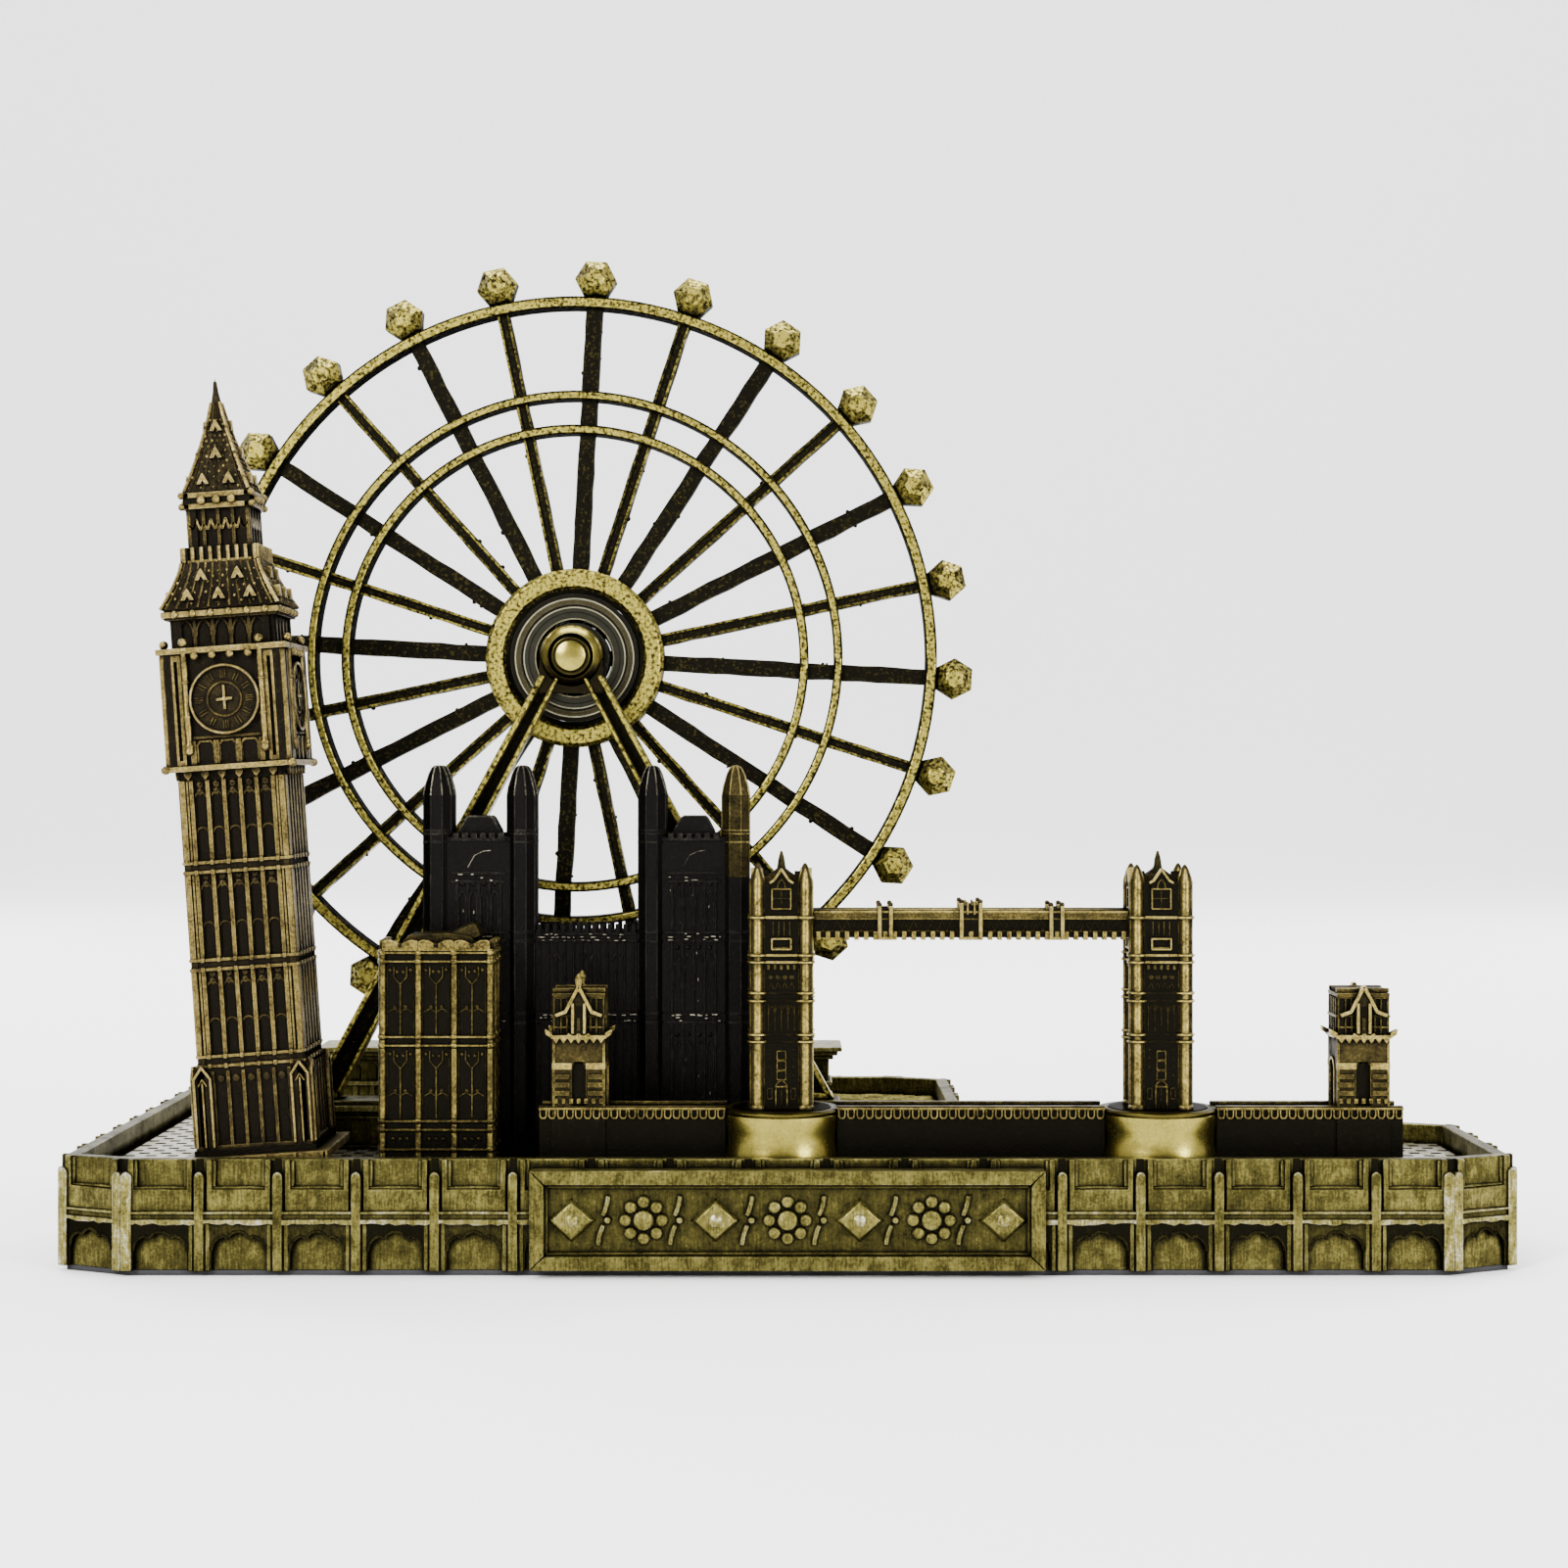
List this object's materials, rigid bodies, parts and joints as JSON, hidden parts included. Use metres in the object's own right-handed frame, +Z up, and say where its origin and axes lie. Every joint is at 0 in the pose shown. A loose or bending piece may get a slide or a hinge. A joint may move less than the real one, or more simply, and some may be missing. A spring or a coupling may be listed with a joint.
{
  "type": "miniature landmark model",
  "caption": "Antique-bronze city skyline miniature: arcaded tray base, clock tower, abbey, twin-tower bridge and an observation wheel that spins on a ball bearing.",
  "frame": {"origin": "middle of the footprint, on the underside of the felt that the model stands on", "axes": "+X to the right along the front wall, +Y to the back, +Z up"},
  "size_m": [0.167, 0.089, 0.1209],
  "materials": {
    "base_bronze": "antique bronze plate over zinc, brushed, dark in the recesses",
    "tower_bronze": "antique bronze plate over zinc, warm gold on the ribs",
    "abbey_black": "black antique plate over zinc, satin",
    "bridge_bronze": "antique bronze plate over zinc, satin gold on round work",
    "wheel_gold": "antique gold plate over zinc, dark spokes",
    "bearing_steel": "ground bearing steel",
    "bearing_race": "polished bearing steel",
    "screw_steel": "zinc-plated steel",
    "felt": "black felt"
  },
  "bodies": {
    "stand": {"base_casting": "base_bronze", "base_felt": "felt", "name_plate": "base_bronze", "fixing_screws": "screw_steel", "clock_tower": "tower_bronze", "clock_spire": "tower_bronze", "clock_dials": "tower_bronze", "abbey_nave": "abbey_black", "abbey_tower_left": "abbey_black", "abbey_tower_right": "abbey_black", "abbey_chapel": "bridge_bronze", "bridge_road_left": "bridge_bronze", "bridge_road_middle": "bridge_bronze", "bridge_road_right": "bridge_bronze", "bridge_pier_left": "bridge_bronze", "bridge_pier_right": "bridge_bronze", "bridge_tower_left": "bridge_bronze", "bridge_tower_right": "bridge_bronze", "bridge_walkway_front": "bridge_bronze", "bridge_walkway_rear": "bridge_bronze", "bridge_gate_left": "bridge_bronze", "bridge_gate_right": "bridge_bronze", "wheel_platform": "base_bronze", "boarding_block": "base_bronze", "frame_leg_left": "wheel_gold", "frame_leg_right": "wheel_gold", "frame_boss": "wheel_gold", "axle_pin": "wheel_gold", "axle_spacer": "bearing_steel", "axle_cap": "wheel_gold", "bearing_inner_ring": "bearing_steel"},
    "wheel": {"wheel_casting": "wheel_gold", "bearing_outer_ring": "bearing_steel", "bearing_shields": "bearing_steel"},
    "ball_set": {"bearing_balls": "bearing_race", "bearing_cage": "bearing_race"}
  },
  "joints": [
    {"name": "wheel_spin", "type": "hinge", "parent": "stand", "child": "wheel", "pos_m": [-0.02655, -0.00685, 0.0712], "axis": [0, 1, 0], "continuous": true},
    {"name": "ball_orbit", "type": "hinge", "parent": "stand", "child": "ball_set", "pos_m": [-0.02655, -0.00685, 0.0712], "axis": [0, 1, 0], "continuous": true}
  ],
  "couplings": [
    {"joint": "ball_orbit", "follows": "wheel_spin", "ratio": 0.6308}
  ]
}
